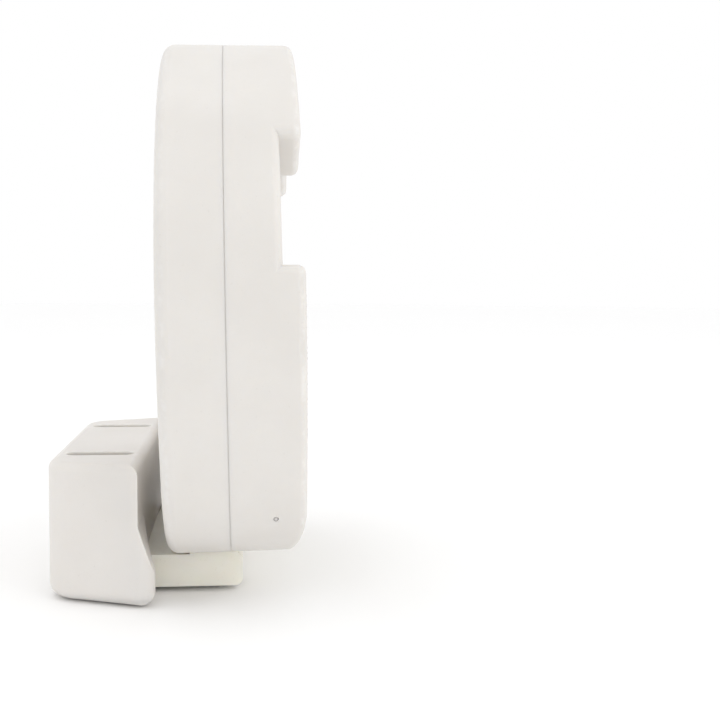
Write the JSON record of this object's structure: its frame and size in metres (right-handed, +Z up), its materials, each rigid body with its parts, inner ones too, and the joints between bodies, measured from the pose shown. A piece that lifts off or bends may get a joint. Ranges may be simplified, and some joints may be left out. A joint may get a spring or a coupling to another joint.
{
  "type": "hinged raised toilet seat",
  "caption": "Hinged toilet seat riser: a thick hollow oval ring with side notches, shown raised on a bolt-down rear block with slotted bolt holes.",
  "frame": {"origin": "on the underside of the block's grip pad, midway between the seat-bolt slots, in the plane of the bowl's deck", "axes": "X across the riser along the hinge, -Y towards the front of the toilet, +Z up from the bowl"},
  "size_m": [0.346, 0.1642, 0.372],
  "materials": {
    "moulding_white": "satin",
    "tongue_cream": "satin",
    "grip_rubber": "matte",
    "sleeve_nylon": "matte",
    "bush_acetal": "smooth",
    "lock_nylon": "matte",
    "steel": "zinc plated"
  },
  "bodies": {
    "block": {"block_housing": "moulding_white", "block_base": "moulding_white", "block_grip_pads": "grip_rubber", "slot_sleeve_left": "sleeve_nylon", "slot_sleeve_right": "sleeve_nylon", "hinge_tongue": "tongue_cream", "hinge_pin_left": "steel", "hinge_pin_right": "steel", "pin_lock_left": "lock_nylon", "pin_lock_right": "lock_nylon", "stop_buffers": "grip_rubber", "base_screws": "steel", "tongue_screws": "steel"},
    "ring": {"ring_deck_shell": "moulding_white", "ring_base_shell": "moulding_white", "rim_pad_front_left": "grip_rubber", "rim_pad_front_right": "grip_rubber", "rim_pad_rear_left": "grip_rubber", "rim_pad_rear_right": "grip_rubber", "vent_plug": "moulding_white", "hinge_bush_left": "bush_acetal", "hinge_bush_right": "bush_acetal"}
  },
  "joints": [
    {"name": "ring_hinge", "type": "hinge", "parent": "block", "child": "ring", "pos_m": [0, -0.07, 0.064], "axis": [1, 0, 0], "range_deg": [0, 91]}
  ]
}
